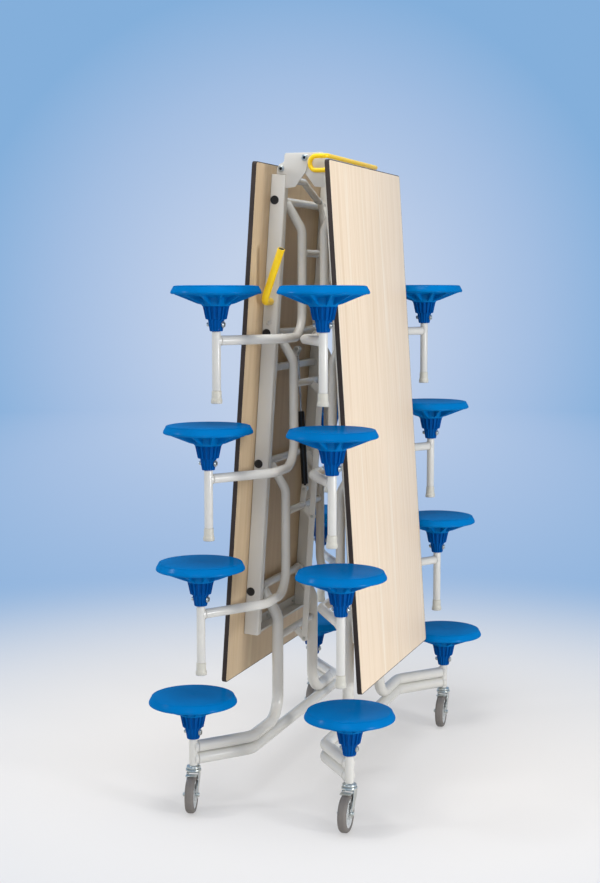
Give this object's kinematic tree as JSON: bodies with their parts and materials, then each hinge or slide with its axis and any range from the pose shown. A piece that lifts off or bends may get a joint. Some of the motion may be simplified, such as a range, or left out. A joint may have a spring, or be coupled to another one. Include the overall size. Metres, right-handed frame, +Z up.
{
  "type": "folding stool table",
  "caption": "Long laminated table in two leaves that fold up against each other, with round stools on bent tube frames that stay level, standing folded on swivel casters.",
  "frame": {"origin": "on the floor under the middle of the folded table", "axes": "+Z up, X along the open table, Y across it, with the near end at -Y"},
  "size_m": [0.849, 1.545, 2.2075],
  "materials": {
    "laminate": "satin pale maple laminate",
    "edge_band": "matt dark edging",
    "frame_paint": "glossy light grey coat",
    "seat_plastic": "satin blue, fine grained",
    "cap_plastic": "off-white plastic",
    "handle_coat": "smooth yellow coat",
    "zinc": "bright zinc plate",
    "strut_black": "black paint",
    "rod_chrome": "polished",
    "tyre": "grey rubber"
  },
  "bodies": {
    "left_base": {"base_frame_left": "frame_paint", "seat_left_near_4": "seat_plastic", "seat_left_far_4": "seat_plastic"},
    "left_leaf": {"board_left": "laminate", "edge_band_left": "edge_band", "leaf_frame_left": "frame_paint", "hinge_bracket_left": "frame_paint"},
    "right_leaf": {"board_right": "laminate", "edge_band_right": "edge_band", "leaf_frame_right": "frame_paint", "hinge_bracket_right": "frame_paint"},
    "right_base": {"base_frame_right": "frame_paint", "seat_right_near_4": "seat_plastic", "seat_right_far_4": "seat_plastic"},
    "left_stools_1": {"stool_frame_left_1": "frame_paint", "seat_left_near_1": "seat_plastic", "foot_cap_left_near_1": "cap_plastic", "seat_left_far_1": "seat_plastic", "foot_cap_left_far_1": "cap_plastic"},
    "left_stools_2": {"stool_frame_left_2": "frame_paint", "seat_left_near_2": "seat_plastic", "foot_cap_left_near_2": "cap_plastic", "seat_left_far_2": "seat_plastic", "foot_cap_left_far_2": "cap_plastic"},
    "left_stools_3": {"stool_frame_left_3": "frame_paint", "seat_left_near_3": "seat_plastic", "foot_cap_left_near_3": "cap_plastic", "seat_left_far_3": "seat_plastic", "foot_cap_left_far_3": "cap_plastic"},
    "right_stools_1": {"stool_frame_right_1": "frame_paint", "seat_right_near_1": "seat_plastic", "foot_cap_right_near_1": "cap_plastic", "seat_right_far_1": "seat_plastic", "foot_cap_right_far_1": "cap_plastic"},
    "right_stools_2": {"stool_frame_right_2": "frame_paint", "seat_right_near_2": "seat_plastic", "foot_cap_right_near_2": "cap_plastic", "seat_right_far_2": "seat_plastic", "foot_cap_right_far_2": "cap_plastic"},
    "right_stools_3": {"stool_frame_right_3": "frame_paint", "seat_right_near_3": "seat_plastic", "foot_cap_right_near_3": "cap_plastic", "seat_right_far_3": "seat_plastic", "foot_cap_right_far_3": "cap_plastic"},
    "left_tie_rod": {"tie_rod_left": "frame_paint"},
    "right_tie_rod": {"tie_rod_right": "frame_paint"},
    "left_sync_link": {"sync_link_left": "frame_paint"},
    "right_sync_link": {"sync_link_right": "frame_paint"},
    "strut_cylinder": {"strut_cylinder": "strut_black"},
    "strut_rod": {"strut_rod": "rod_chrome"},
    "latch_bail": {"latch_bail": "handle_coat"},
    "crank_handle": {"crank_handle": "handle_coat"},
    "caster_left_near": {"caster_fork_left_near": "zinc"},
    "wheel_left_near": {"caster_wheel_left_near": "tyre"},
    "caster_left_far": {"caster_fork_left_far": "zinc"},
    "wheel_left_far": {"caster_wheel_left_far": "tyre"},
    "caster_right_near": {"caster_fork_right_near": "zinc"},
    "wheel_right_near": {"caster_wheel_right_near": "tyre"},
    "caster_right_far": {"caster_fork_right_far": "zinc"},
    "wheel_right_far": {"caster_wheel_right_far": "tyre"}
  },
  "joints": [
    {"name": "fold", "type": "hinge", "parent": "left_base", "child": "left_leaf", "pos_m": [-0.20103, 0, 0.6815], "axis": [0, 1, 0], "range_deg": [0, 86.15]},
    {"name": "centre_hinge", "type": "hinge", "parent": "left_leaf", "child": "right_leaf", "pos_m": [0, 0, 2.1898], "axis": [0, 1, 0], "range_deg": [-172.29, 0]},
    {"name": "right_base_pivot", "type": "hinge", "parent": "right_leaf", "child": "right_base", "pos_m": [0.20103, 0, 0.6815], "axis": [0, 1, 0], "range_deg": [0, 86.15]},
    {"name": "left_stools_1_pivot", "type": "hinge", "parent": "left_leaf", "child": "left_stools_1", "pos_m": [-0.10884, 0, 2.05], "axis": [0, 1, 0], "range_deg": [-86.15, 0]},
    {"name": "left_stools_2_pivot", "type": "hinge", "parent": "left_leaf", "child": "left_stools_2", "pos_m": [-0.13957, 0, 1.59383], "axis": [0, 1, 0], "range_deg": [-86.15, 0]},
    {"name": "left_stools_3_pivot", "type": "hinge", "parent": "left_leaf", "child": "left_stools_3", "pos_m": [-0.1703, 0, 1.13767], "axis": [0, 1, 0], "range_deg": [-86.15, 0]},
    {"name": "right_stools_1_pivot", "type": "hinge", "parent": "right_leaf", "child": "right_stools_1", "pos_m": [0.10884, 0, 2.05], "axis": [0, 1, 0], "range_deg": [0, 86.15]},
    {"name": "right_stools_2_pivot", "type": "hinge", "parent": "right_leaf", "child": "right_stools_2", "pos_m": [0.13957, 0, 1.59383], "axis": [0, 1, 0], "range_deg": [0, 86.15]},
    {"name": "right_stools_3_pivot", "type": "hinge", "parent": "right_leaf", "child": "right_stools_3", "pos_m": [0.1703, 0, 1.13767], "axis": [0, 1, 0], "range_deg": [0, 86.15]},
    {"name": "left_tie_rod_pin", "type": "hinge", "parent": "left_base", "child": "left_tie_rod", "pos_m": [-0.09303, 0, 0.4635], "axis": [0, 1, 0], "range_deg": [0, 86.15]},
    {"name": "right_tie_rod_pin", "type": "hinge", "parent": "right_base", "child": "right_tie_rod", "pos_m": [0.09303, 0, 0.4635], "axis": [0, 1, 0], "range_deg": [-86.15, 0]},
    {"name": "left_sync_link_pin", "type": "hinge", "parent": "right_leaf", "child": "left_sync_link", "pos_m": [0.049, 0, 2.0598], "axis": [0, 1, 0], "range_deg": [0, 121.03]},
    {"name": "right_sync_link_pin", "type": "hinge", "parent": "left_leaf", "child": "right_sync_link", "pos_m": [-0.049, 0, 2.0598], "axis": [0, 1, 0], "range_deg": [-121.03, 0]},
    {"name": "strut_pivot", "type": "hinge", "parent": "left_stools_3", "child": "strut_cylinder", "pos_m": [-0.0953, 0, 1.01867], "axis": [0, 1, 0], "range_deg": [0, 75.89]},
    {"name": "strut_slide", "type": "slide", "parent": "strut_cylinder", "child": "strut_rod", "axis": [-0.0579, 0, 0.9983], "range_m": [-0.17746, 0]},
    {"name": "latch_pivot", "type": "hinge", "parent": "right_leaf", "child": "latch_bail", "pos_m": [0.08504, 0, 2.1458], "axis": [0, 1, 0], "range_deg": [0, 30]},
    {"name": "crank_pivot", "type": "hinge", "parent": "left_leaf", "child": "crank_handle", "pos_m": [-0.12369, 0, 1.70321], "axis": [0, 1, 0], "range_deg": [0, 45]},
    {"name": "swivel_left_near", "type": "hinge", "parent": "left_base", "child": "caster_left_near", "pos_m": [-0.27603, -0.624, 0.149], "axis": [0, 0, 1], "continuous": true},
    {"name": "roll_left_near", "type": "hinge", "parent": "caster_left_near", "child": "wheel_left_near", "pos_m": [-0.26515, -0.66766, 0.06155], "axis": [0.9703, 0.2419, 0], "continuous": true},
    {"name": "swivel_left_far", "type": "hinge", "parent": "left_base", "child": "caster_left_far", "pos_m": [-0.27603, 0.624, 0.149], "axis": [0, 0, 1], "continuous": true},
    {"name": "roll_left_far", "type": "hinge", "parent": "caster_left_far", "child": "wheel_left_far", "pos_m": [-0.26977, 0.57944, 0.06155], "axis": [0.9903, 0.1392, 0], "continuous": true},
    {"name": "swivel_right_near", "type": "hinge", "parent": "right_base", "child": "caster_right_near", "pos_m": [0.27603, -0.624, 0.149], "axis": [0, 0, 1], "continuous": true},
    {"name": "roll_right_near", "type": "hinge", "parent": "caster_right_near", "child": "wheel_right_near", "pos_m": [0.27839, -0.66894, 0.06155], "axis": [0.9986, 0.0523, 0], "continuous": true},
    {"name": "swivel_right_far", "type": "hinge", "parent": "right_base", "child": "caster_right_far", "pos_m": [0.27603, 0.624, 0.149], "axis": [0, 0, 1], "continuous": true},
    {"name": "roll_right_far", "type": "hinge", "parent": "caster_right_far", "child": "wheel_right_far", "pos_m": [0.27917, 0.57911, 0.06155], "axis": [0.9976, 0.0698, 0], "continuous": true}
  ],
  "couplings": [
    {"joint": "centre_hinge", "follows": "fold", "ratio": -2},
    {"joint": "right_base_pivot", "follows": "fold", "ratio": 1},
    {"joint": "left_stools_1_pivot", "follows": "fold", "ratio": -1},
    {"joint": "left_stools_2_pivot", "follows": "fold", "ratio": -1},
    {"joint": "left_stools_3_pivot", "follows": "fold", "ratio": -1},
    {"joint": "right_stools_1_pivot", "follows": "fold", "ratio": 1},
    {"joint": "right_stools_2_pivot", "follows": "fold", "ratio": 1},
    {"joint": "right_stools_3_pivot", "follows": "fold", "ratio": 1},
    {"joint": "left_tie_rod_pin", "follows": "fold", "ratio": 1},
    {"joint": "right_tie_rod_pin", "follows": "fold", "ratio": -1},
    {"joint": "left_sync_link_pin", "follows": "fold", "ratio": 1.4049},
    {"joint": "right_sync_link_pin", "follows": "fold", "ratio": -1.4049},
    {"joint": "strut_pivot", "follows": "fold", "ratio": 0.88088},
    {"joint": "strut_slide", "follows": "fold", "m_per_rad": -0.11796}
  ]
}
